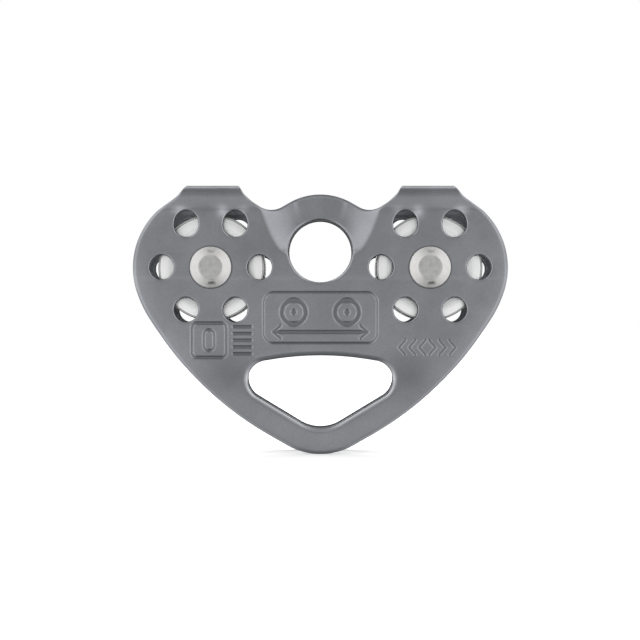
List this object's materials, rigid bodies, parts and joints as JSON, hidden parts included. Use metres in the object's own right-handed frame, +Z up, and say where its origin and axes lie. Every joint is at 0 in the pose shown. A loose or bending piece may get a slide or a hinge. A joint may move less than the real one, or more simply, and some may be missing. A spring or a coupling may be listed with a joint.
{
  "type": "rope pulley",
  "caption": "In-line rope pulley: folded sheet frame with two grooved sheaves on riveted axles, a carabiner eye between them and a wide carabiner opening below.",
  "frame": {"origin": "midpoint of the rope's centreline under the two sheaves, halfway between the plates", "axes": "+X along the rope, to the right seen from the front plate; +Y from the front plate to the rear plate, along the axles; +Z up in use, from the rope to the sheaves"},
  "size_m": [0.1228, 0.0264, 0.0882],
  "materials": {
    "frame_alloy": "satin grey anodised, tumbled",
    "sheave_alloy": "bright, lathe turned",
    "rivet_steel": "bright, cold headed",
    "sleeve_steel": "ground",
    "washer_steel": "ground",
    "bushing_bronze": "oil-filled sintered bronze"
  },
  "bodies": {
    "root": {"frame": "frame_alloy", "left_axle": "rivet_steel", "left_axle_sleeve": "sleeve_steel", "left_thrust_washer_front": "washer_steel", "left_thrust_washer_rear": "washer_steel", "right_axle": "rivet_steel", "right_axle_sleeve": "sleeve_steel", "right_thrust_washer_front": "washer_steel", "right_thrust_washer_rear": "washer_steel"},
    "left_wheel": {"left_sheave": "sheave_alloy", "left_bushing_front": "bushing_bronze", "left_bushing_rear": "bushing_bronze"},
    "right_wheel": {"right_sheave": "sheave_alloy", "right_bushing_front": "bushing_bronze", "right_bushing_rear": "bushing_bronze"}
  },
  "joints": [
    {"name": "left_sheave_spin", "type": "hinge", "parent": "root", "child": "left_wheel", "pos_m": [-0.03585, 0, 0.017], "axis": [0, 1, 0], "continuous": true},
    {"name": "right_sheave_spin", "type": "hinge", "parent": "root", "child": "right_wheel", "pos_m": [0.03585, 0, 0.017], "axis": [0, 1, 0], "continuous": true}
  ]
}
